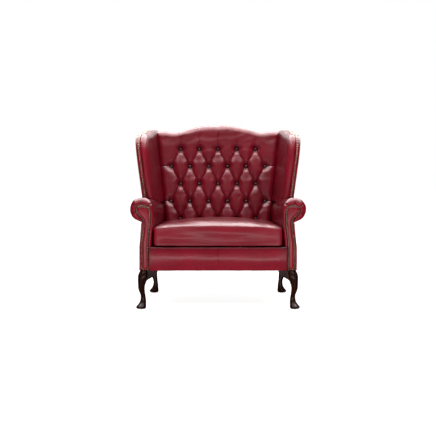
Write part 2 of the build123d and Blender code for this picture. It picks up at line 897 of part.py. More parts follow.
with BuildPart() as one_clip:
    with BuildSketch(Plane.YZ):
        with BuildLine():
            inner = wire_radius + clearance
            outer = inner + clip_thickness
            Line((-clip_length / 2, -outer), (0, -outer))
            ThreePointArc((0, -outer), (outer, 0), (0, outer))
            Polyline((0, outer), (-clip_length / 3, outer), (-clip_length / 3, inner), (0, inner))
            ThreePointArc((0, inner), (inner, 0), (0, -inner))
            Polyline((0, -inner), (-clip_length / 2, -inner), (-clip_length / 2, -outer))
        make_face()
    extrude(amount=clip_width / 2, both=True)

with BuildPart() as spring_clips:
    for _, start_x, end_x in spring_parts:
        with Locations(
            Plane(origin=(start_x, face_y + spring_front, clip_height), x_dir=(-1, 0, 0), z_dir=(0, 0, 1)),
            (end_x, face_y + spring_rear, clip_height),
        ):
            add(one_clip.part)

deck_inner = post_inner - clearance
deck_rear_in = rear_rail_in
with BuildPart() as seat_deck:
    with BuildSketch(Plane.XY.offset(deck_bottom)):
        with BuildLine():
            Polyline(
                (-deck_inner, face_y + front_rail_in + clearance),
                (deck_inner, face_y + front_rail_in + clearance),
                (deck_inner - arm_closing_share * deck_rear_in, face_y + deck_rear_in),
                (-deck_inner + arm_closing_share * deck_rear_in, face_y + deck_rear_in),
                close=True,
            )
        make_face()
    extrude(amount=deck_top - deck_bottom)

with BuildPart() as dust_cover:
    with BuildSketch(Plane.XY.offset(leg_height)):
        with Locations((0, face_y + (front_rail_in + rear_rail_in) / 2)):
            Rectangle(2 * (ankle_x - ear_reach - overrun), rear_rail_in - front_rail_in)
    extrude(amount=-cloth_thickness)


# Legs
def leg_sections(x, depth_in, way):
    """Centre, height and radius of each round section of a leg."""
    rise = leg_height - glide_height
    reach = ankle_radius
    for height_share, offset_share, radius_share in leg_section_shares:
        shift = offset_share * reach
        centre = (x + shift, face_y + depth_in + way * shift)
        yield centre, glide_height + height_share * rise, radius_share * ankle_radius


def ear(x, depth_in, plane_x):
    """Bracket that spreads a leg's top along a rail; its lower edge is a cyma."""
    face_normal = Vector(plane_x).cross(Vector(0, 0, 1))
    with BuildPart() as bracket:
        plane = Plane(origin=(x, face_y + depth_in, leg_height), x_dir=plane_x, z_dir=face_normal)
        with BuildSketch(plane):
            with BuildLine():
                points = [(reach * ear_reach, -drop * ear_drop) for reach, drop in ear_shares]
                Spline(*points)
                Polyline(points[-1], (0, 0), (0, -ear_drop), points[0])
            make_face()
        extrude(amount=ear_thickness / 2, both=True)
    return bracket.part


def leg(x, depth_in, way, bolt, eared):
    """Cabriole leg with a pad foot that points outwards along the diagonal."""
    with BuildPart() as body:
        for centre, height, radius in leg_sections(x, depth_in, way):
            with BuildSketch(Plane.XY.offset(height)):
                with Locations(centre):
                    Circle(radius)
        loft()
        if eared:
            knee_x = x - 2 * clearance
            add(ear(knee_x, depth_in + ear_thickness / 2 - ankle_radius, (-1, 0, 0)))
            add(ear(knee_x, depth_in, (0, 1, 0)))
        with BuildSketch(Plane.XY.offset(leg_height)):
            with Locations((bolt[0], face_y + bolt[1])):
                Circle(bolt_radius + clearance)
        extrude(amount=-bolt_half_length, mode=Mode.SUBTRACT)
    return body


front_right_leg = leg(ankle_x, ankle_in, -1, front_bolt, True)
rear_right_leg = leg(rear_ankle_x, rear_ankle_in, 1, rear_bolt, False)

with BuildPart() as one_bolt:
    with BuildSketch(Plane.XY.offset(leg_height - bolt_half_length)):
        Circle(bolt_radius)
    extrude(amount=2 * bolt_half_length)

with BuildPart() as one_insert:
    with BuildSketch(Plane.XY.offset(leg_height)):
        Circle(insert_radius)
    extrude(amount=bolt_half_length)
    with BuildSketch(Plane.XY.offset(leg_height)):
        Circle(insert_flange_radius)
    extrude(amount=insert_flange)
    with BuildSketch(Plane.XY.offset(leg_height)):
        Circle(bolt_radius + clearance)
    extrude(amount=bolt_half_length, mode=Mode.SUBTRACT)

bolt_places = [
    (side * x, face_y + depth_in) for x, depth_in in (front_bolt, rear_bolt) for side in (1, -1)
]
with BuildPart() as leg_bolts:
    with Locations(*bolt_places):
        add(one_bolt.part)

with BuildPart() as leg_inserts:
    with Locations(*bolt_places):
        add(one_insert.part)

foot_shift = leg_section_shares[0][1] * ankle_radius
with BuildPart() as foot_glides:
    for side in (1, -1):
        for x, depth_in, way in ((ankle_x, ankle_in, -1), (rear_ankle_x, rear_ankle_in, 1)):
            with BuildSketch():
                with Locations((side * (x + foot_shift), face_y + depth_in + way * foot_shift)):
                    Circle(glide_radius)
            extrude(amount=glide_height)


# Seat cushion
def cushion_form(inset):
    """Crowned cushion, wider in front, with its rear face on the rake of the back."""
    shoulder_in, shoulder_under, shoulder_over = cushion_shoulder_share
    front_in = -cushion_overhang + inset
    rear_in = seat_depth + (deck_top - seat_level) * rake_sin / rake_cos - clearance - inset
    with BuildPart() as form:
        for place, closing, rise in cushion_station_shares:
            depth_in = front_in + place * (rear_in - front_in)
            half = cushion_front_half + place * (cushion_rear_half - cushion_front_half) - inset
            half -= cushion_drawn_in * (1 - (2 * place - 1) ** 2) + closing * cushion_corner
            foot = inset + clearance + closing * cushion_corner * cushion_foot_share
            crown = cushion_crown_height - cushion_edge_height
            top = cushion_edge_height + rise * crown - inset - deck_top
            side_top = cushion_edge_height - cushion_fall + min(rise, 0) * crown - inset - deck_top
            corner = cushion_corner - closing * cushion_corner * cushion_rounding_share
            roundness = cushion_front_shoulder_share * (1 - max(rise, 0)) + max(rise, 0)
            shoulder = cushion_shoulder * roundness * (1 - closing * cushion_rounding_share)
            bend = 1 - sqrt(0.5)
            tilt = radians(back_rake * place)
            station = Plane(
                origin=(0, face_y + depth_in, deck_top), x_dir=(1, 0, 0), z_dir=(0, -cos(tilt), sin(tilt))
            )
            with BuildSketch(station):
                with BuildLine():
                    for side in (1, -1):
                        Line((0, foot), (side * (half - corner), foot))
                        ThreePointArc(
                            (side * (half - corner), foot),
                            (side * (half - bend * corner), foot + bend * corner),
                            (side * half, foot + corner),
                        )
                        Line((side * half, foot + corner), (side * half, side_top - shoulder / 2))
                        ThreePointArc(
                            (side * half, side_top - shoulder / 2),
                            (side * (half - shoulder_in * shoulder), side_top - shoulder_under * shoulder),
                            (side * (half - shoulder), side_top + shoulder_over * shoulder),
                        )
                    ThreePointArc(
                        (-(half - shoulder), side_top + shoulder_over * shoulder),
                        (0, top),
                        (half - shoulder, side_top + shoulder_over * shoulder),
                    )
                make_face()
        loft(ruled=True)
    return form


rear_in = seat_depth + (deck_top - seat_level) * rake_sin / rake_cos - clearance
rear_plane = Plane(
    origin=(0, face_y + rear_in, deck_top), x_dir=(1, 0, 0), z_dir=(0, -rake_cos, rake_sin)
)
zip_height = (cushion_edge_height - deck_top) / 2


def zip_block(length, width, start, end, x=0.0):
    """Flat piece let into the rear face of the cushion between two depths."""
    with BuildPart() as block:
        with BuildSketch(rear_plane.offset(start)):
            with Locations((x, zip_height)):
                Rectangle(length, width)
        extrude(amount=end - start)
    return block.part


with BuildPart() as seat_cushion_cover:
    add(cushion_form(0).part)
    add(cushion_form(cover_thickness).part, mode=Mode.SUBTRACT)
    add(
        zip_block(
            zip_length + 2 * clearance,
            zip_width + 2 * clearance,
            -overrun,
            cover_thickness + clearance,
        ),
        mode=Mode.SUBTRACT,
    )

seat_cushion_core = cushion_form(cover_thickness + clearance)

with BuildPart() as cushion_zip:
    add(zip_block(zip_length, zip_width, cover_thickness - zip_tape, cover_thickness))
    add(zip_block(zip_length, teeth_width, cover_thickness - zip_tape - teeth_rise, cover_thickness))

slider_end = cover_thickness - zip_tape - teeth_rise - clearance
slider_x = slider_length / 2 - zip_length / 2
with BuildPart() as zip_slider:
    add(zip_block(slider_length, slider_width, slider_end - slider_thickness, slider_end, slider_x))
    add(
        zip_block(
            pull_length,
            slider_width / 2,
            slider_end - slider_thickness,
            slider_end - slider_thickness / 2,
            slider_x + (slider_length + pull_length) / 2,
        )
    )


# Upholstery nails
def nail(shank):
    """Domed nail head on a round shank that points down."""
    with BuildPart() as piece:
        with BuildSketch(Plane.XZ):
            with BuildLine():
                Polyline(
                    (0, nail_rise), (0, -shank), (shank_radius, -shank), (shank_radius, 0), (nail_radius, 0)
                )
                draw_dome(nail_radius, 0, nail_rise)
            make_face()
        revolve(axis=Axis.Z)
    return piece.part


with BuildLine(cross_plane(0)) as facing_line:
    draw_facing()
with BuildPart() as right_arm_nails:
    with Locations(
        *[Plane(origin=at, z_dir=(0, -1, 0)) for at, _ in evenly(facing_line.wire(), nail_pitch, True)]
    ):
        add(nail(shank_length))

with BuildPart() as right_wing_nails:
    with Locations(*wing_nail_planes):
        add(nail(shank_length))

crest_line = [crest_point(share, rear_roll + back_nail_inset, frame_end) for share in crest_shares]
corner_run = crest_line[-1][1]
back_corners = [
    (panel_base - back_nail_inset, up_back(leg_height + back_nail_inset, frame_end)),
    (panel_base - back_nail_inset, shoulder_run - roll_radius),
    (wing_edge(shoulder_run, frame_end, back_nail_inset), shoulder_run),
    (wing_edge(corner_run, frame_end, back_nail_inset), corner_run),
]
half_line = back_corners + crest_line[::-1]
with BuildLine(back_plane.offset(-back_total)) as back_line:
    Polyline(*half_line, *[(-x, v) for x, v in half_line[-2::-1]])
with BuildPart() as back_panel_nails:
    with Locations(
        *[Plane(origin=at, z_dir=-back_plane.z_dir) for at, _ in evenly(back_line.wire(), back_nail_pitch)]
    ):
        add(nail(panel_depth - shank_radius))

# Every piece under its own name
pieces = {
    "front_seat_rail": front_seat_rail,
    "rear_seat_rail": rear_seat_rail,
    "corner_blocks": corner_blocks,
    "crest_rail": crest_rail,
    "lower_back_rail": lower_back_rail,
    "back_webbing": back_webbing,
    "inside_back": inside_back,
    "back_foam": back_foam,
    "back_buttons": back_buttons,
    "button_ties": button_ties,
    "outside_back": outside_back,
    "back_panel_nails": back_panel_nails,
    "zigzag_springs": zigzag_springs,
    "spring_clips": spring_clips,
    "seat_deck": seat_deck,
    "dust_cover": dust_cover,
    "leg_bolts": leg_bolts,
    "leg_inserts": leg_inserts,
    "foot_glides": foot_glides,
    "seat_cushion_cover": seat_cushion_cover,
    "seat_cushion_core": seat_cushion_core,
    "cushion_zip": cushion_zip,
    "zip_slider": zip_slider,
}
twins = {
    "seat_rail": right_seat_rail,
    "back_post": right_back_post,
    "arm_post": right_arm_post,
    "arm_rail": right_arm_rail,
    "arm_pad": right_arm_pad,
    "arm_facing": right_arm_facing,
    "arm_nails": right_arm_nails,
    "outside_arm": right_outside_arm,
    "wing_board": right_wing_board,
    "wing_pad": right_wing_pad,
    "outside_wing": right_outside_wing,
    "wing_nails": right_wing_nails,
    "front_border": right_border,
    "front_leg": front_right_leg,
    "rear_leg": rear_right_leg,
}
for name, piece in twins.items():
    pieces["right_" + name] = piece
    pieces["left_" + name] = mirrored(piece)

os.makedirs("parts", exist_ok=True)
for name, piece in pieces.items():
    piece.part.label = name
    export_step(piece.part, f"parts/{name}.step")
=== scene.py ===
import json
import math

import bmesh
import bpy
import numpy as np
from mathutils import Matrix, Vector


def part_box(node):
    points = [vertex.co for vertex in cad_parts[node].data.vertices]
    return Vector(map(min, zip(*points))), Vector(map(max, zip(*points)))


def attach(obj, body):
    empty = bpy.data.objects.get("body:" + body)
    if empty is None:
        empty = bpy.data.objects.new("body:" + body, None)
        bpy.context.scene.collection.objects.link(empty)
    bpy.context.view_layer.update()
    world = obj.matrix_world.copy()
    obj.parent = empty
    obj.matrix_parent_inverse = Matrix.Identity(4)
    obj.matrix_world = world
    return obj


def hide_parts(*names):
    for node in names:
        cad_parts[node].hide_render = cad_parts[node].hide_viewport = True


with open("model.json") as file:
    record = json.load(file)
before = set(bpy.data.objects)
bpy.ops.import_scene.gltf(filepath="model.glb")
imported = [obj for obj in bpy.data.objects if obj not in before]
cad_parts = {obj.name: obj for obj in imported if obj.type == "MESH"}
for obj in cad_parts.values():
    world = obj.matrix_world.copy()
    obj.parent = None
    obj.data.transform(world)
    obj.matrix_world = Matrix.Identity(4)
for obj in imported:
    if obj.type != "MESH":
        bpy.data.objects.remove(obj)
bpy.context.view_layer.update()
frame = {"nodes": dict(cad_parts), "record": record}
nodes = frame["nodes"]

# Places shared with the CAD part, in metres
FACE_Y = -0.379555
SEAT_DEPTH = 0.549
SEAT_LEVEL = 0.5
DECK_TOP = 0.362
RAKE = math.radians(10)
CREST_HEIGHT = 1.088
CREST_PAD = 0.04
CREST_SHARES = ((0.0, 0.0), (0.278, 0.175), (0.40, 0.50), (0.51, 0.83), (0.646, 1.17), (0.76, 0.95))
FRONT_ROLL = 0.042
BACK_END = 0.117
ROLL_X = 0.445
ROLL_HEIGHT = 0.583
ARM_CLOSING = 0.062
ARM_FALL = 0.07
WING_LEAN = 0.1317
WING_OUTER = 0.466
WING_FRONT = 0.300
WING_FOOT = 0.640
WING_THICKNESS = 0.072
BUTTON_PITCH = 0.122
ROW_PITCH = 0.114
TOP_ROW = 0.938
ROW_COUNT = 5
SHORT_ROW = 5

UP = np.array([0.0, math.sin(RAKE), math.cos(RAKE)])
BACKWARD = np.array([0.0, math.cos(RAKE), -math.sin(RAKE)])
BACK_ORIGIN = np.array([0.0, FACE_Y + SEAT_DEPTH, SEAT_LEVEL])


# Numbers that shape the soft pieces
RIPPLE_WAVES = 14
RIPPLE_DAMPING = 4
RIPPLE_SPREAD = (0.7, 1.5)


def ripple(points, height, wavelength, seed, stretch=(1, 1, 1)):
    """Smooth pseudo-random unevenness at each point, of about a height either way."""
    rng = np.random.default_rng(seed)
    total = np.zeros(len(points))
    for _ in range(RIPPLE_WAVES):
        direction = rng.normal(size=3)
        direction /= np.linalg.norm(direction)
        wave = 2 * math.pi / (wavelength * rng.uniform(*RIPPLE_SPREAD))
        total += np.sin(points @ (direction * wave / np.array(stretch)) + rng.uniform(0, 2 * math.pi))
    return total / RIPPLE_DAMPING * height


def bell(values, width):
    """1 at zero, falling off smoothly on both sides."""
    return np.exp(-(values / width) ** 2)


def fading(values, length):
    """1 at zero, fading out with distance."""
    return np.exp(-values / length)


def rounded(share):
    """Quarter circle that starts flat: 0 at 0 and 1 at 1."""
    return 1 - np.sqrt(np.clip(1 - share * share, 0, 1))


def segment_distance(points, segments):
    """Distance from each point to the nearest of some segments."""
    best = np.full(len(points), np.inf)
    for start, end in segments:
        along = end - start
        t = np.clip((points - start) @ along / max(along @ along, 1e-12), 0, 1)
        best = np.minimum(best, np.linalg.norm(points - start - t[:, None] * along, axis=1))
    return best


def fitted(points, low, high):
    """The same points, stretched to fill a box."""
    own_low, own_high = points.min(0), points.max(0)
    return low + (points - own_low) / (own_high - own_low) * (high - low)


# Meshes
WELD_REACH = 0.0001


def read_points(mesh):
    co = np.zeros(len(mesh.vertices) * 3)
    mesh.vertices.foreach_get("co", co)
    return co.reshape(-1, 3)


def write_points(mesh, points):
    mesh.vertices.foreach_set("co", np.asarray(points, float).ravel())
    mesh.update()


def read_normals(mesh):
    normals = np.zeros(len(mesh.vertices) * 3)
    mesh.vertices.foreach_get("normal", normals)
    return normals.reshape(-1, 3)


def displace(thing, heights):
    """Moves each point along its normal."""
    mesh = thing.data
    write_points(mesh, read_points(mesh) + read_normals(mesh) * heights[:, None])


def add_painted_shade(mesh, values):
    """Keeps each point's painted shade, darkest in folds, seams, button wells and under overhangs, by which
    the leather's colour is darkened.
    """
    layer = mesh.attributes.new("painted_shade", "FLOAT", "POINT")
    layer.data.foreach_set("value", np.clip(values, 0, 1).astype(np.float32))


def new_object(name, mesh):
    made = bpy.data.objects.new(name, mesh)
    bpy.context.scene.collection.objects.link(made)
    return made


def shade_smooth(mesh):
    mesh.polygons.foreach_set("use_smooth", np.ones(len(mesh.polygons), bool))


def bake(thing):
    """Applies every modifier of an object to its mesh."""
    bpy.context.view_layer.update()
    graph = bpy.context.evaluated_depsgraph_get()
    mesh = bpy.data.meshes.new_from_object(thing.evaluated_get(graph))
    thing.modifiers.clear()
    thing.data = mesh
    shade_smooth(mesh)


def add_smoothing(thing, rounds):
    smooth = thing.modifiers.new("smooth", "SMOOTH")
    smooth.factor = 0.5
    smooth.iterations = rounds


def grid_object(name, points):
    """Sheet of quads through a grid of points."""
    rows, columns, _ = points.shape
    index = np.arange(rows * columns).reshape(rows, columns)
    faces = np.stack(
        [index[:-1, :-1], index[:-1, 1:], index[1:, 1:], index[1:, :-1]], axis=-1
    ).reshape(-1, 4)
    mesh = bpy.data.meshes.new(name)
    mesh.from_pydata(points.reshape(-1, 3).tolist(), [], faces.tolist())
    shade_smooth(mesh)
    return new_object(name, mesh)


def softened(name, node, voxel, rounds, over=None):
    """Copy of a CAD solid, or of two together, with an even mesh and rounded edges."""
    form = bmesh.new()
    form.from_mesh(nodes[node].data)
    if over is not None:
        form.from_mesh(nodes[over].data)
    mesh = bpy.data.meshes.new(name)
    form.to_mesh(mesh)
    form.free()
    made = new_object(name, mesh)
    weld = made.modifiers.new("weld", "WELD")
    weld.merge_threshold = WELD_REACH
    remesh = made.modifiers.new("remesh", "REMESH")
    remesh.mode = "VOXEL"
    remesh.voxel_size = voxel
    add_smoothing(made, rounds)
    bake(made)
    return made


def plain_cover(name, node, voxel, rounds, height, wavelength, seed, over=None):
    """Padded cover with a slight unevenness, drawn over another solid if one is named."""
    made = softened(name, node, voxel, rounds, over)
    displace(made, ripple(read_points(made.data), height, wavelength, seed))
    return made


# Material parts
def node_material(name):
    material = bpy.data.materials.new(name)
    material.use_nodes = True
    tree = material.node_tree
    return material, tree, tree.nodes["Principled BSDF"]


def object_place(tree, stretch=(1, 1, 1)):
    place = tree.nodes.new("ShaderNodeTexCoord")
    mapping = tree.nodes.new("ShaderNodeMapping")
    mapping.inputs["Scale"].default_value = stretch
    tree.links.new(place.outputs["Object"], mapping.inputs["Vector"])
    return mapping.outputs["Vector"]


def noise_node(tree, place, scale, detail=3.0, roughness=0.55):
    noise = tree.nodes.new("ShaderNodeTexNoise")
    noise.inputs["Scale"].default_value = scale
    noise.inputs["Detail"].default_value = detail
    noise.inputs["Roughness"].default_value = roughness
    tree.links.new(place, noise.inputs["Vector"])
    return noise.outputs["Fac"]


def wave_node(tree, place, scale, distortion, detail=2.0, direction="X"):
    wave = tree.nodes.new("ShaderNodeTexWave")
    wave.bands_direction = direction
    wave.inputs["Scale"].default_value = scale
    wave.inputs["Distortion"].default_value = distortion
    wave.inputs["Detail"].default_value = detail
    tree.links.new(place, wave.inputs["Vector"])
    return wave.outputs["Fac"]


def product_node(tree, first, second):
    product = tree.nodes.new("ShaderNodeMath")
    product.operation = "MULTIPLY"
    tree.links.new(first, product.inputs[0])
    tree.links.new(second, product.inputs[1])
    return product.outputs["Value"]


def ramp_node(tree, factor, stops):
    ramp = tree.nodes.new("ShaderNodeValToRGB")
    elements = ramp.color_ramp.elements
    while len(elements) > 1:
        elements.remove(elements[-1])
    elements[0].position, elements[0].color = stops[0][0], (*stops[0][1], 1)
    for position, colour in stops[1:]:
        elements.new(position).color = (*colour, 1)
    tree.links.new(factor, ramp.inputs["Fac"])
    return ramp.outputs["Color"]


def range_node(tree, factor, low, high):
    span = tree.nodes.new("ShaderNodeMapRange")
    span.inputs["To Min"].default_value = low
    span.inputs["To Max"].default_value = high
    tree.links.new(factor, span.inputs["Value"])
    return span.outputs["Result"]


def bump_node(tree, height, strength, distance, normal=None):
    bump = tree.nodes.new("ShaderNodeBump")
    bump.inputs["Strength"].default_value = strength
    bump.inputs["Distance"].default_value = distance
    tree.links.new(height, bump.inputs["Height"])
    if normal is not None:
        tree.links.new(normal, bump.inputs["Normal"])
    return bump.outputs["Normal"]


# Materials
BLACK, WHITE = (0, 0, 0), (1, 1, 1)
RED_BRIGHT = (0.20, 0.0016, 0.0125)
RED_MID = (0.155, 0.0012, 0.0095)
# Painted shade: the dark red that the leather is mixed towards in folds, seams, wells and under overhangs
RED_PAINTED_SHADE = (0.022, 0.0005, 0.002)


def leather_material(name, bright, mid, rough, wrinkle_stretch=(1, 1, 1), wrinkle=0.2):
    """Glazed antique hide: pebbled grain, soft wrinkles, and a painted shade that darkens it in folds, seams
    and wells.
    """
    material, tree, shader = node_material(name)
    place = object_place(tree)
    cloud = noise_node(tree, place, scale=7.0, detail=4.0)
    tone = ramp_node(tree, cloud, ((0.30, mid), (0.72, bright)))
    # Painted shade: the base colour is darkened by the per-point painted shade
    fold = tree.nodes.new("ShaderNodeAttribute")
    fold.attribute_name = "painted_shade"
    painted_shade_mix = tree.nodes.new("ShaderNodeMix")
    painted_shade_mix.data_type = "RGBA"
    tree.links.new(fold.outputs["Fac"], painted_shade_mix.inputs["Factor"])
    tree.links.new(tone, painted_shade_mix.inputs[6])
    painted_shade_mix.inputs[7].default_value = (*RED_PAINTED_SHADE, 1)
    tree.links.new(painted_shade_mix.outputs[2], shader.inputs["Base Color"])
    grain = tree.nodes.new("ShaderNodeTexVoronoi")
    grain.feature = "DISTANCE_TO_EDGE"
    grain.inputs["Scale"].default_value = 620.0
    tree.links.new(place, grain.inputs["Vector"])
    pebbles = ramp_node(tree, grain.outputs["Distance"], ((0.0, BLACK), (0.22, WHITE)))
    fine = bump_node(tree, pebbles, strength=0.22, distance=0.00025)
    wrinkle_place = object_place(tree, wrinkle_stretch)
    wrinkles = noise_node(tree, wrinkle_place, scale=38.0, detail=5.0, roughness=0.6)
    broad = bump_node(tree, wrinkles, strength=wrinkle, distance=0.0035, normal=fine)
    tree.links.new(broad, shader.inputs["Normal"])
    shine = range_node(tree, noise_node(tree, place, scale=55.0), *rough)
    tree.links.new(shine, shader.inputs["Roughness"])
    shader.inputs["Specular IOR Level"].default_value = 0.4
    shader.inputs["Coat Weight"].default_value = 0.12
    shader.inputs["Coat Roughness"].default_value = 0.2
    return material


def grained_material(name, light, dark, roughness, stretch=(1, 1, 1)):
    """Figured, pored surface: timber, and plastic where both tones are close."""
    material, tree, shader = node_material(name)
    place = object_place(tree, stretch)
    figure = noise_node(tree, place, scale=9.0, detail=6.0, roughness=0.6)
    rings = wave_node(tree, place, scale=22.0, distortion=7.0, detail=4.0)
    tone = ramp_node(tree, product_node(tree, figure, rings), ((0.05, dark), (0.62, light)))
    tree.links.new(tone, shader.inputs["Base Color"])
    pores = bump_node(tree, noise_node(tree, place, scale=160.0, detail=2.0), strength=0.12, distance=0.0003)
    tree.links.new(pores, shader.inputs["Normal"])
    shader.inputs["Roughness"].default_value = roughness
    shader.inputs["Specular IOR Level"].default_value = 0.3
    return material


def metal_material(name, bright, dull, rough):
    """Metal with a cloudy patina and fine dents."""
    material, tree, shader = node_material(name)
    place = object_place(tree)
    patina = noise_node(tree, place, scale=160.0, detail=4.0)
    tree.links.new(ramp_node(tree, patina, ((0.38, dull), (0.64, bright))), shader.inputs["Base Color"])
    tree.links.new(range_node(tree, patina, *rough), shader.inputs["Roughness"])
    dents = bump_node(tree, noise_node(tree, place, scale=700.0, detail=2.0), strength=0.15, distance=0.0003)
    tree.links.new(dents, shader.inputs["Normal"])
    shader.inputs["Metallic"].default_value = 1.0
    return material


def woven_material(name, light, dark, threads):
    """Plain weave from two crossed sets of bands."""
    material, tree, shader = node_material(name)
    place = object_place(tree)
    warp = wave_node(tree, place, scale=threads, distortion=0.4, direction="X")
    weft = wave_node(tree, place, scale=threads, distortion=0.4, direction="Y")
    weave = product_node(tree, warp, weft)
    tree.links.new(ramp_node(tree, weave, ((0.1, dark), (0.8, light))), shader.inputs["Base Color"])
    tree.links.new(bump_node(tree, weave, strength=0.5, distance=0.0006), shader.inputs["Normal"])
    shader.inputs["Roughness"].default_value = 0.9
    return material


leather = leather_material("red_leather_hide", RED_BRIGHT, RED_MID, (0.19, 0.27))
cushion_leather = leather_material(
    "red_leather_cushion", RED_BRIGHT, RED_MID, (0.25, 0.35), wrinkle_stretch=(0.3, 1, 1), wrinkle=0.3
)
back_leather = leather_material("red_leather_back", RED_BRIGHT, RED_MID, (0.28, 0.36))
# The wings wear a lighter copy of the leather: painted light that brightens their inner faces
wing_leather = leather_material(
    "red_leather_wing_lightened", (0.225, 0.0017, 0.0135), (0.175, 0.0013, 0.0105), (0.27, 0.35)
)
# The buttons wear a much darker copy of the leather: painted shade for their deep wells
shaded_button_leather = leather_material(
    "red_leather_button_shaded", (0.07, 0.001, 0.004), (0.05, 0.0008, 0.003), (0.32, 0.42)
)
SLOT_MATERIALS = {
    "red_leather": leather,
    "mahogany": grained_material(
        "mahogany_polish", (0.034, 0.0055, 0.0022), (0.005, 0.0009, 0.0005), 0.22, (1, 1, 0.25)
    ),
    "frame_beech": grained_material(
        "beech_timber", (0.52, 0.33, 0.18), (0.36, 0.21, 0.10), 0.6, (0.3, 1, 1)
    ),
    "antique_brass": metal_material(
        "antique_brass_nail", (0.36, 0.27, 0.18), (0.09, 0.062, 0.04), (0.25, 0.4)
    ),
    "steel": metal_material("steel_wire", (0.42, 0.42, 0.43), (0.25, 0.25, 0.26), (0.3, 0.5)),
    "zip_metal": metal_material("zip_metal_teeth", (0.33, 0.27, 0.16), (0.16, 0.12, 0.07), (0.3, 0.5)),
    "zip_tape": woven_material("zip_tape_weave", (0.055, 0.004, 0.008), (0.02, 0.002, 0.003), 500.0),
    "jute": woven_material("jute_weave", (0.42, 0.29, 0.16), (0.20, 0.12, 0.06), 220.0),
    "padding": woven_material("padding_fibre", (0.74, 0.70, 0.60), (0.55, 0.51, 0.43), 90.0),
    "black_cloth": woven_material("black_cloth_weave", (0.02, 0.02, 0.021), (0.006, 0.006, 0.007), 420.0),
    "glide_plastic": grained_material(
        "glide_plastic_moulded", (0.035, 0.034, 0.033), (0.02, 0.02, 0.02), 0.45
    ),
}


def wear(thing, material):
    thing.data.materials.clear()
    thing.data.materials.append(material)


def dress(thing, material, stands_for, body="frame"):
    """Puts a soft piece on its body, in place of the solids that it stands for."""
    wear(thing, material)
    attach(thing, body)
    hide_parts(*stands_for)


for part in frame["record"]["subparts"]:
    if part["node"] in nodes:
        wear(nodes[part["node"]], SLOT_MATERIALS[part["material_slot"]])
# The buttons get the darker leather: painted shade
wear(nodes["back_buttons"], shaded_button_leather)


# Buttoned back
def up_back(height, depth):
    """Distance up the raked back at a height, at a depth into the back."""
    return (height - SEAT_LEVEL + depth * math.sin(RAKE)) / math.cos(RAKE)


SHEET_SPACING = 0.0027
SHEET_WIDTH = 0.84
SHEET_PADDING = 0.001
WING_GAP = 0.0006
REAR_ROLL = 0.018
REAR_FADE = 0.03
FOOT_CLEARANCE = 0.004
FOOT_DEPTH = 0.05
BACK_FOOT = up_back(DECK_TOP + FOOT_CLEARANCE, FOOT_DEPTH)
STRAIGHT_END = up_back(CREST_HEIGHT, FRONT_ROLL) - FRONT_ROLL
ROLL_LENGTH = math.pi / 2 * FRONT_ROLL
FLAT_LENGTH = BACK_END - FRONT_ROLL - REAR_ROLL
REAR_LENGTH = math.pi / 2 * REAR_ROLL

# Folds: depth share at each end, and how far the leather is drawn in beside them
DIAMOND_FOLD = (1.0, 1.0, 0.052)
CREST_PLEAT = (0.42, 0.16, 0.030)
SIDE_PLEAT = (0.55, 0.35, 0.024)
FOOT_PLEAT = (1.0, 0.8, 0.05)
CREST_PLEAT_OVERRUN = 0.02
FOOT_PLEAT_OVERRUN = 0.05
FOLD_DEPTH = 0.0175
FOLD_BLEND = 3.0
FOLD_SHADE_WIDTH = 0.0022
LEAST_SHADE_SHARE = 0.45
BOWL_RADIUS = 0.044
BOWL_DEPTH = 0.013
PUCKER_RADIUS = 0.022
PUCKER_WIDTH = 0.012
PUCKER_HEIGHT = 0.0004
BUTTON_EDGE = 0.0125
WELL_SHADE_WIDTH = 0.006
WING_TUCK = 0.034
WING_TUCK_WIDTH = 0.036


def back_point(x, run, depth):
    return BACK_ORIGIN + np.stack([x, np.zeros_like(x), np.zeros_like(x)], -1) + (
        run[..., None] * UP + depth[..., None] * BACKWARD
    )


def wing_edge(run, depth, inset):
    """Half width between the wings, moved inwards by inset."""
    along = SEAT_DEPTH + run * math.sin(RAKE) + depth * math.cos(RAKE)
    height = SEAT_LEVEL + run * math.cos(RAKE) - depth * math.sin(RAKE)
    lean = (height - WING_FOOT) - (along - WING_FRONT)
    return WING_OUTER + WING_LEAN * lean - inset * math.sqrt(1 + 2 * WING_LEAN ** 2)


def crest_fall(x):
    """How far the serpentine crest lies below its top, across the back."""
    places = np.array([a for a, _ in CREST_SHARES]) * ROLL_X
    falls = np.array([b for _, b in CREST_SHARES]) * CREST_PAD
    places = np.concatenate([-places[:0:-1], places])
    falls = np.concatenate([falls[:0:-1], falls])
    slopes = np.gradient(falls, places)
    slopes[0] = (falls[1] - falls[0]) / (places[1] - places[0])
    slopes[-1] = (falls[-1] - falls[-2]) / (places[-1] - places[-2])
    x = np.clip(x, places[0], places[-1])
    i = np.clip(np.searchsorted(places, x) - 1, 0, len(places) - 2)
    span = places[i + 1] - places[i]
    t = (x - places[i]) / span
    return (
        (2 * t ** 3 - 3 * t ** 2 + 1) * falls[i]
        + (t ** 3 - 2 * t ** 2 + t) * span * slopes[i]
        + (-2 * t ** 3 + 3 * t ** 2) * falls[i + 1]
        + (t ** 3 - t ** 2) * span * slopes[i + 1]
    )


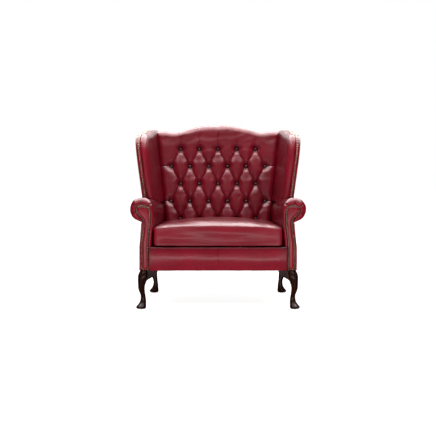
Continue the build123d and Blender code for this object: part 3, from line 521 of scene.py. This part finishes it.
def sheet_section(arc, fall):
    """Run up the back, depth and turn of the sheet at a length along its section."""
    rest = arc - STRAIGHT_END
    on_roll = np.clip(rest / FRONT_ROLL, 0, math.pi / 2)
    on_flat = np.clip(rest - ROLL_LENGTH, 0, FLAT_LENGTH)
    on_rear = np.clip((rest - ROLL_LENGTH - FLAT_LENGTH) / REAR_ROLL, 0, math.pi / 2)
    share = np.clip((arc - BACK_FOOT) / (STRAIGHT_END - BACK_FOOT), 0, 1)
    run = BACK_FOOT + (STRAIGHT_END - fall - BACK_FOOT) * share
    run = run + FRONT_ROLL * np.sin(on_roll) - REAR_ROLL * (1 - np.cos(on_rear))
    depth = FRONT_ROLL * (1 - np.cos(on_roll)) + on_flat + REAR_ROLL * np.sin(on_rear)
    return run, depth, on_roll + on_rear


def button_rows():
    rows = []
    for row in range(ROW_COUNT):
        count = SHORT_ROW + row % 2
        run = up_back(TOP_ROW, 0) - row * ROW_PITCH
        rows.append([((i - (count - 1) / 2) * BUTTON_PITCH, run) for i in range(count)])
    return rows


def back_folds(rows):
    """Both ends of every fold of the back, with its kind."""
    folds = []
    for upper, lower in zip(rows, rows[1:]):
        for a in upper:
            for b in lower:
                if abs(a[0] - b[0]) < BUTTON_PITCH:
                    folds.append((a, b, DIAMOND_FOLD))
    crest_line = STRAIGHT_END + ROLL_LENGTH + CREST_PLEAT_OVERRUN
    for x, run in rows[0]:
        folds.append(((x, run), (x, crest_line), CREST_PLEAT))
    for row in rows[1::2]:
        x, run = row[-1]
        for side in (-1, 1):
            folds.append(((side * x, run), (side * ROLL_X, run), SIDE_PLEAT))
    for x, run in rows[-1]:
        folds.append(((x, run), (x, BACK_FOOT - FOOT_PLEAT_OVERRUN), FOOT_PLEAT))
    return folds


def fold_hollow(x, laid, rows):
    """Depth that the folds draw in, and the distance to the nearest fold."""
    total = np.zeros_like(x)
    nearest = np.ones_like(x)
    for (x0, v0), (x1, v1), (start_share, end_share, reach) in back_folds(rows):
        dx, dv = x1 - x0, v1 - v0
        t = np.clip(((x - x0) * dx + (laid - v0) * dv) / (dx * dx + dv * dv), 0, 1)
        distance = np.hypot(x - x0 - t * dx, laid - v0 - t * dv)
        share = start_share + (end_share - start_share) * t
        drawn = rounded(np.clip(1 - distance / reach, 0, 1))
        total += (FOLD_DEPTH * share * drawn) ** FOLD_BLEND
        nearest = np.minimum(nearest, distance / np.maximum(share, LEAST_SHADE_SHARE))
    return total ** (1 / FOLD_BLEND), nearest


def button_hollow(x, laid, rows):
    """Depth of the bowls and puckers at the buttons, and the distance to the nearest button."""
    hollow = np.zeros_like(x)
    nearest = np.ones_like(x)
    for button_x, button_run in [place for row in rows for place in row]:
        distance = np.hypot(x - button_x, laid - button_run)
        turn = np.arctan2(laid - button_run, x - button_x)
        bowl = np.clip(1 - distance / BOWL_RADIUS, 0, 1)
        phase = 7.3 * button_x + 11.1 * button_run
        pucker = np.sin(9 * turn + phase * 40) + 0.6 * np.sin(14 * turn - phase * 55)
        hollow += BOWL_DEPTH * bowl * bowl * (3 - 2 * bowl)
        hollow += PUCKER_HEIGHT * pucker * bell(distance - PUCKER_RADIUS, PUCKER_WIDTH)
        nearest = np.minimum(nearest, distance)
    return hollow, nearest


def buttoned_back():
    """Deep-buttoned sheet: pillows parted by folds that meet at the buttons."""
    rows = button_rows()
    total = STRAIGHT_END - BACK_FOOT + ROLL_LENGTH + FLAT_LENGTH + REAR_LENGTH
    arc = np.linspace(BACK_FOOT, BACK_FOOT + total, int(total / SHEET_SPACING))
    across = np.linspace(-1, 1, int(SHEET_WIDTH / SHEET_SPACING))
    arc, across = np.meshgrid(arc, across, indexing="ij")
    level_run, level_depth, _ = sheet_section(arc, 0)
    half = wing_edge(level_run, level_depth, WING_THICKNESS) - WING_GAP
    x = across * half
    fall = crest_fall(x)
    run, depth, turn = sheet_section(arc, fall)
    # Place on the leather as laid out flat, where the folds are drawn
    laid = np.where(arc < STRAIGHT_END, run, arc - fall)

    folded, fold_near = fold_hollow(x, laid, rows)
    buttoned, button_near = button_hollow(x, laid, rows)
    by_wing = np.clip(1 - (half - np.abs(x)) / WING_TUCK_WIDTH, 0, 1)
    tucked = WING_TUCK * rounded(by_wing) * np.cos(np.clip(turn, 0, math.pi / 2))
    base = back_point(x, run, depth)
    flat = base.reshape(-1, 3)
    sway = ripple(flat, height=0.0011, wavelength=0.09, seed=5)
    sway += ripple(flat, height=0.0004, wavelength=0.035, seed=6)
    rear_fade = np.clip((BACK_FOOT + total - arc) / REAR_FADE, 0, 1)
    drawn_in = (folded + buttoned + tucked + sway.reshape(x.shape)) * rear_fade + SHEET_PADDING
    inward = np.cos(turn)[..., None] * BACKWARD - np.sin(turn)[..., None] * UP
    made = grid_object("buttoned_back", base + inward * drawn_in[..., None])
    # Painted shade: the leather is darkened along the folds and in the wells round the buttons
    painted_well_shade = np.exp(-(np.clip(button_near - BUTTON_EDGE, 0, 1) / WELL_SHADE_WIDTH) ** 1.5)
    painted_shade = 0.5 * fading(fold_near, FOLD_SHADE_WIDTH) + 0.95 * painted_well_shade
    add_painted_shade(made.data, (painted_shade * rear_fade).ravel())
    return made


dress(buttoned_back(), back_leather, ("inside_back",))

# Arms and their facings
ON_FACE = 0.0003
SHARP_TURN = 0.5
SHARED_EDGE = 0.0015
ROLLED_DEPTH = 0.09
LARGEST_ROUNDING = 0.034
ROUNDING_SHARE = 0.85
ARM_PADDING = 0.0015
OUTER_PADDING = 0.0035
OUTER_PADDING_REACH = 0.04
GATHERS = np.radians((150, 82, 28, -25))
GATHER_DEPTH = 0.0042
GATHER_LENGTH = 0.020
GATHER_HALF_WIDTH = 0.00318348
GATHER_START = 0.02
NAIL_DRAW = 0.0020
NAIL_DRAW_WIDTH = 0.004
NAIL_DRAW_DEPTH = 0.01
FACING_FRONT = 0.006
FACING_DOME = 0.0065
DOME_MARGIN = 0.006
DOME_RISE = 0.022
RIM_DEPTH = 0.0012
RIM_PLACE = 0.005
RIM_WIDTH = 0.003
RIM_SHADE = 0.0045


def front_outline(node, keep_off=None):
    """Edges of a CAD solid's front face, as segments across the chair."""
    form = bmesh.new()
    form.from_mesh(nodes[node].data)
    bmesh.ops.remove_doubles(form, verts=form.verts, dist=WELD_REACH)
    found = []
    for edge in form.edges:
        ends = [v.co for v in edge.verts]
        if all(abs(p.y - FACE_Y) < ON_FACE for p in ends) and edge.calc_face_angle(0) > SHARP_TURN:
            found.append([[p.x, p.z] for p in ends])
    form.free()
    found = np.array(found)
    if keep_off is not None:
        found = found[segment_distance(found.mean(1), keep_off) > SHARED_EDGE]
    return found


def round_front(made, facing, outer):
    """Rolls the leather from the edge of the facing round to the outside of the arm."""
    points = read_points(made.data)
    depth_in = points[:, 1] - FACE_Y
    near = depth_in < ROLLED_DEPTH
    flat = points[near][:, (0, 2)]
    to_facing = segment_distance(flat, facing)
    width = to_facing + segment_distance(flat, outer)
    share = np.clip(to_facing / np.maximum(width, 1e-6), 0, 1)
    profile = np.minimum(LARGEST_ROUNDING, width * ROUNDING_SHARE) * rounded(share)
    shifted = profile + np.clip(depth_in[near], 0, 1) * (1 - profile / ROLLED_DEPTH)
    points[near, 1] = FACE_Y + np.minimum(depth_in[near], 0) + shifted
    write_points(made.data, points)
    add_smoothing(made, 5)
    bake(made)


def rolled_arm(side, name):
    """Arm pad whose leather rolls round the front edge, gathered in a few folds."""
    facing = front_outline(name + "_arm_facing")
    outer = front_outline(name + "_arm_pad", facing)
    made = softened(name + "_arm_leather", name + "_arm_pad", voxel=0.0036, rounds=6)
    round_front(made, facing, outer)
    points = read_points(made.data)
    depth_in = points[:, 1] - FACE_Y
    dx = (points[:, 0] - side * (ROLL_X - ARM_CLOSING * depth_in)) * side
    dz = points[:, 2] - (ROLL_HEIGHT - ARM_FALL * depth_in)
    radius = np.hypot(dx, dz)
    turn = np.arctan2(dz, dx)
    reach = fading(np.clip(depth_in, 0, 1), GATHER_LENGTH) * np.clip(radius / GATHER_START - 1, 0, 1)
    fold = np.zeros(len(points))
    for place in GATHERS:
        fold = np.maximum(fold, bell((turn - place) * radius, GATHER_HALF_WIDTH))
    heights = ARM_PADDING + OUTER_PADDING * np.clip(dx / OUTER_PADDING_REACH, 0, 1)
    heights -= GATHER_DEPTH * fold * reach
    heights += ripple(points, height=0.0011, wavelength=0.11, seed=21 + side)
    heights += ripple(points, height=0.0004, wavelength=0.05, seed=31 + side, stretch=(1, 2.5, 1))
    by_nails = bell(segment_distance(points[:, (0, 2)], facing), NAIL_DRAW_WIDTH)
    heights -= NAIL_DRAW * by_nails * (depth_in < NAIL_DRAW_DEPTH)
    displace(made, heights)
    # Painted shade in the gathers at the front of the arm
    add_painted_shade(made.data, fold * reach * 0.9)
    return made


def domed_facing(name):
    """Scroll facing, padded so that it bulges between its rows of nails."""
    outline = front_outline(name + "_arm_facing")
    made = softened(name + "_facing_leather", name + "_arm_facing", voxel=0.0028, rounds=4)
    points = read_points(made.data)
    inside = segment_distance(points[:, (0, 2)], outline)
    front = points[:, 1] < FACE_Y + FACING_FRONT
    share = np.clip((inside - DOME_MARGIN) / DOME_RISE, 0, 1)
    points[:, 1] -= front * FACING_DOME * (1 - (1 - share) ** 2)
    points[:, 1] += front * RIM_DEPTH * bell(inside - RIM_PLACE, RIM_WIDTH)
    write_points(made.data, points)
    add_smoothing(made, 10)
    bake(made)
    # Painted shade along the inside of the rows of nails
    add_painted_shade(made.data, front * 0.8 * bell(inside - RIM_SHADE, RIM_SHADE))
    return made


# Wings and outside covers
for side, name in ((1, "right"), (-1, "left")):
    dress(rolled_arm(side, name), leather, (name + "_arm_pad",))
    wing = plain_cover(
        name + "_wing_leather", name + "_wing_pad",
        voxel=0.0038, rounds=40, height=0.0016, wavelength=0.12, seed=40 + side,
    )
    dress(wing, wing_leather, (name + "_wing_pad",))
    dress(domed_facing(name), leather, (name + "_arm_facing",))
    outer_arm = plain_cover(
        name + "_outer_arm_leather", name + "_outside_arm",
        voxel=0.0036, rounds=5, height=0.0008, wavelength=0.14, seed=70 + side,
    )
    dress(outer_arm, leather, (name + "_outside_arm",))
    outer_wing = plain_cover(
        name + "_outer_wing_leather", name + "_outside_wing",
        voxel=0.0034, rounds=4, height=0.0004, wavelength=0.12, seed=80 + side, over=name + "_wing_board",
    )
    dress(outer_wing, leather, (name + "_outside_wing", name + "_wing_board"))


# Front border, deck and outside back
SEAM_WIDTH = 0.0022
BORDER_BULGE = 0.0045
BORDER_SEAM_DEPTH = 0.0012
UNDER_CUSHION_SHADE = 0.016
BY_FACING_SHADE = 0.014


def front_border():
    """Both halves of the front border as one bulging cover with a seam at its centre."""
    made = plain_cover(
        "border_leather", "left_front_border",
        voxel=0.0034, rounds=6, height=0.0011, wavelength=0.10, seed=61, over="right_front_border",
    )
    points = read_points(made.data)
    low, high = points.min(0), points.max(0)
    seam = bell(points[:, 0], SEAM_WIDTH)
    up = (points[:, 2] - low[2]) / (high[2] - low[2])
    between_ends = 1 - (np.abs(points[:, 0]) / high[0]) ** 8
    outward = np.clip(-read_normals(made.data)[:, 1], 0, 1)
    heights = BORDER_BULGE * np.sin(math.pi * up) * between_ends * outward
    displace(made, heights - BORDER_SEAM_DEPTH * seam)
    # Painted shade: darker in the seam, under the cushion's overhang and beside the facings
    painted_shadow_under_cushion = fading(np.clip(DECK_TOP - points[:, 2], 0, 1), UNDER_CUSHION_SHADE)
    painted_shade_by_facing = fading(high[0] - np.abs(points[:, 0]), BY_FACING_SHADE)
    add_painted_shade(made.data, 0.45 * seam + 0.75 * painted_shadow_under_cushion + 0.5 * painted_shade_by_facing)
    return made


dress(front_border(), leather, ("left_front_border", "right_front_border"))
deck = plain_cover(
    "deck_leather", "seat_deck", voxel=0.005, rounds=4, height=0.0006, wavelength=0.12, seed=95
)
dress(deck, leather, ("seat_deck",))
panel = plain_cover(
    "outer_back_leather", "outside_back", voxel=0.0042, rounds=4, height=0.0008, wavelength=0.16, seed=91
)
dress(panel, leather, ("outside_back",))

# Seat cushion
SWELL_FRAMES = 20
SWELL_CAP = 0.006
INSET = 0.001
CROWN = 0.0100
CROWN_DEPTH = 0.17
FRONT_BULGE = 0.0075
END_DROP = 0.016
EDGE_RISE = 0.006
TOP_EDGE_LEAN, TOP_EDGE_SPREAD = 45, 18
FOOT_EDGE_LEAN, FOOT_EDGE_SPREAD = -45, 20
SEAM_HEIGHT = 0.0095
SEAM_DEPTH = 0.0022
FOOT_SHADE = 0.016


def swell(made):
    """Blows the form up as cloth, by a few millimetres at most."""
    start = read_points(made.data)
    cloth = made.modifiers.new("cloth", "CLOTH")
    cloth.settings.quality = 5
    cloth.settings.mass = 0.3
    cloth.settings.use_pressure = True
    cloth.settings.uniform_pressure_force = 4.0
    cloth.settings.tension_stiffness = 25
    cloth.settings.compression_stiffness = 12
    cloth.settings.bending_stiffness = 1.2
    cloth.settings.effector_weights.gravity = 0
    cloth.collision_settings.use_collision = False
    scene = bpy.context.scene
    scene.frame_start, scene.frame_end = 1, SWELL_FRAMES
    cloth.point_cache.frame_start, cloth.point_cache.frame_end = 1, SWELL_FRAMES
    for step in range(1, SWELL_FRAMES + 1):
        scene.frame_set(step)
    bake(made)
    scene.frame_set(1)
    moved = read_points(made.data) - start
    length = np.linalg.norm(moved, axis=1)
    moved *= (np.minimum(length, SWELL_CAP) / np.maximum(length, 1e-9))[:, None]
    write_points(made.data, start + moved)


def seat_cushion():
    """Stuffed cushion: crisp edges, a crowned top, a streaked front and a low seam."""
    made = softened("seat_cushion_leather", "seat_cushion_core", voxel=0.0075, rounds=4)
    swell(made)
    finer = made.modifiers.new("finer", "SUBSURF")
    finer.levels = 1
    bake(made)

    low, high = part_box("seat_cushion_cover")
    low, high = np.array(low), np.array(high)
    points = fitted(read_points(made.data), low, high)
    from_middle = np.abs(points[:, 0]) / high[0]
    from_foot = (points[:, 2] - low[2]) / (high[2] - low[2])
    points[:, 2] -= END_DROP * from_middle ** 2.5 * np.clip(from_foot * 2 - 1, 0, 1)
    write_points(made.data, points)

    points = read_points(made.data)
    normals = read_normals(made.data)
    front = np.clip(-normals[:, 1] * 1.4, 0, 1)
    top = np.clip(normals[:, 2], 0, 1)
    lean = np.degrees(np.arctan2(normals[:, 2], np.hypot(normals[:, 0], normals[:, 1])))
    behind_edge = np.clip((points[:, 1] - low[1]) / CROWN_DEPTH, 0, 1)
    from_foot = np.clip((points[:, 2] - low[2]) / (high[2] - low[2]), 0, 1)
    between_ends = np.clip(1 - (np.abs(points[:, 0]) / high[0]) ** 6, 0, 1)
    bulging = np.sin(math.pi * from_foot) * between_ends * front
    seam = bell(points[:, 2] - low[2] - SEAM_HEIGHT, SEAM_WIDTH)
    heights = CROWN * np.sin(math.pi * behind_edge) * top ** 2 - INSET
    heights += FRONT_BULGE * bulging
    heights += ripple(points, height=0.0020, wavelength=0.058, seed=101, stretch=(7, 1, 1)) * bulging
    heights += ripple(points, height=0.0003, wavelength=0.024, seed=104, stretch=(9, 1, 1)) * bulging
    heights += ripple(points, height=0.0010, wavelength=0.16, seed=102) * top
    heights += ripple(points, height=0.0002, wavelength=0.06, seed=103, stretch=(2.5, 1, 1)) * top
    heights += EDGE_RISE * bell(lean - TOP_EDGE_LEAN, TOP_EDGE_SPREAD)
    foot_edge = bell(lean - FOOT_EDGE_LEAN, FOOT_EDGE_SPREAD)
    heights += EDGE_RISE * foot_edge * np.clip(-normals[:, 1] * 2, 0, 1)
    heights -= SEAM_DEPTH * seam * np.clip(1.6 - np.abs(normals[:, 2]) * 2, 0, 1)
    displace(made, heights)

    points = read_points(made.data)
    points[:, 2] = np.maximum(points[:, 2], low[2])
    write_points(made.data, points)
    # Painted shade in the low seam and towards the foot of the cushion
    add_painted_shade(made.data, 0.5 * seam + 0.45 * fading(points[:, 2] - low[2], FOOT_SHADE))
    return made


dress(
    seat_cushion(), cushion_leather, ("seat_cushion_cover", "seat_cushion_core"), body="seat_cushion"
)

# Floor
FLOOR_SIZE = 30.0
bpy.ops.mesh.primitive_plane_add(size=FLOOR_SIZE, location=(0, 0, 0))
floor = bpy.context.active_object
floor.name = "floor"
floor_paint, floor_tree, floor_shader = node_material("floor_paint")
floor_cloud = noise_node(floor_tree, object_place(floor_tree), scale=2.0)
floor_tone = ramp_node(floor_tree, floor_cloud, ((0.2, (0.90, 0.90, 0.90)), (0.8, (0.93, 0.93, 0.93))))
floor_tree.links.new(floor_tone, floor_shader.inputs["Base Color"])
floor_shader.inputs["Roughness"].default_value = 0.9
floor_shader.inputs["Specular IOR Level"].default_value = 0.0
floor_shader.inputs["Emission Color"].default_value = (*WHITE, 1)
floor_shader.inputs["Emission Strength"].default_value = 0.80
floor.visible_glossy = False
floor.data.materials.append(floor_paint)

# Light: name, place, target, width and height, power, and whether it lights matt surfaces
AREA_LIGHTS = (
    ("ceiling_softbox", (0, 1.0, 3.2), (0, 1.0, 0), (5.0, 4.4), 620, False),
    ("front_strip", (0, -2.0, 0.18), (0, 0, 0.18), (2.4, 0.16), 6.5, True),
    ("front_window", (0, -6.4, 1.35), (0, 0, 1.0), (3.0, 0.5), 8, True),
    ("front_ceiling", (0, -2.3, 3.2), (0, -2.3, 0), (5.0, 2.0), 75, True),
    ("rear_wall", (0, 3.6, 1.7), (0, 0, 1.0), (7.0, 3.4), 95, True),
)
for name, place, target, size, power, lights_matt in AREA_LIGHTS:
    lamp = bpy.data.lights.new(name, "AREA")
    lamp.shape = "RECTANGLE"
    lamp.size, lamp.size_y = size
    lamp.energy = power
    softbox = new_object(name, lamp)
    softbox.location = place
    aim = Vector(target) - Vector(place)
    softbox.rotation_euler = aim.to_track_quat("-Z", "Y").to_euler()
    softbox.visible_camera = False
    softbox.visible_diffuse = lights_matt

sun = bpy.data.lights.new("even_light", "SUN")
sun.energy = 1.4
sun.angle = math.radians(90)
even_light = new_object("even_light", sun)
even_light.rotation_euler = (math.radians(26), 0, 0)
even_light.visible_glossy = False

# White to the camera, nearly dark to the chair
world = bpy.data.worlds.new("studio")
bpy.context.scene.world = world
world.use_nodes = True
tree = world.node_tree
backdrop = tree.nodes["Background"]
backdrop.inputs["Color"].default_value = (*WHITE, 1)
backdrop.inputs["Strength"].default_value = 1.0
dim = tree.nodes.new("ShaderNodeBackground")
dim.inputs["Color"].default_value = (*WHITE, 1)
dim.inputs["Strength"].default_value = 0.03
rays = tree.nodes.new("ShaderNodeLightPath")
mix = tree.nodes.new("ShaderNodeMixShader")
tree.links.new(rays.outputs["Is Camera Ray"], mix.inputs["Fac"])
tree.links.new(dim.outputs["Background"], mix.inputs[1])
tree.links.new(backdrop.outputs["Background"], mix.inputs[2])
tree.links.new(mix.outputs["Shader"], tree.nodes["World Output"].inputs["Surface"])

# Camera, as far off and as high as the photograph's
CAMERA_DISTANCE = 5.0
CAMERA_HEIGHT = 0.92
CAMERA_PITCH = 2.2
camera = bpy.data.cameras.new("camera")
camera.lens = 71.3
camera.sensor_width = 36
camera.shift_y = -0.077
eye = new_object("camera", camera)
eye.location = (0, FACE_Y - CAMERA_DISTANCE, CAMERA_HEIGHT)
eye.rotation_euler = (math.radians(90 - CAMERA_PITCH), 0, 0)
bpy.context.scene.camera = eye
bpy.context.scene.view_settings.view_transform = "Standard"
